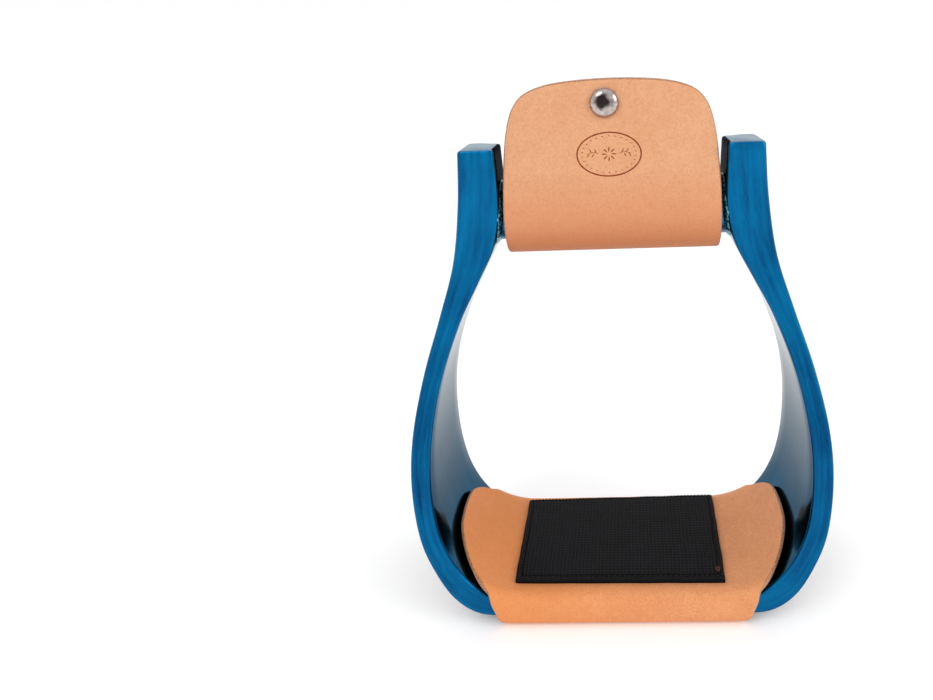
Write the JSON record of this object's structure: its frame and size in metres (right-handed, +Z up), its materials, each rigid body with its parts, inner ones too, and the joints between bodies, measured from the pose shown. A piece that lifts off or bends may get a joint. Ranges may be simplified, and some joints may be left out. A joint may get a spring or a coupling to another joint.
{
  "type": "western stirrup",
  "caption": "Bell-shaped western stirrup: engraved blue metal frame, leather sleeve turning on the neck bar, leather-covered tread with a woven grip pad.",
  "frame": {"origin": "middle of the underside of the leather tread cover, where the stirrup stands", "axes": "+Z up along the stirrup to the neck, X from arm to arm, Y through the stirrup, the way the boot goes in"},
  "size_m": [0.1416, 0.0682, 0.1829],
  "materials": {
    "blue_metal": "brushed and dyed blue under a gloss clear coat",
    "bright_cut": "bright-cut engraving, bare polished metal",
    "weld_metal": "rough weld under the same blue coat",
    "neck_leather": "natural vegetable-tanned, smooth grain",
    "tread_leather": "natural vegetable-tanned, smooth grain, cut edges raw",
    "nickel": "polished nickel plate",
    "waxed_thread": "waxed linen thread",
    "grip_webbing": "ribbed black non-slip webbing",
    "black_thread": "black nylon thread"
  },
  "bodies": {
    "stirrup": {"frame": "blue_metal", "neck_bar": "blue_metal", "weld_bead_left": "weld_metal", "weld_bead_right": "weld_metal", "tread_leather": "tread_leather", "underside_stitch": "waxed_thread", "grip_pad": "grip_webbing", "grip_thread": "black_thread"},
    "neck_sleeve": {"neck_leather": "neck_leather", "rivet_cap": "nickel", "rivet_post": "nickel"}
  },
  "joints": [
    {"name": "neck_sleeve_turn", "type": "hinge", "parent": "stirrup", "child": "neck_sleeve", "pos_m": [0, 0, 0.1391], "axis": [1, 0, 0], "continuous": true}
  ]
}
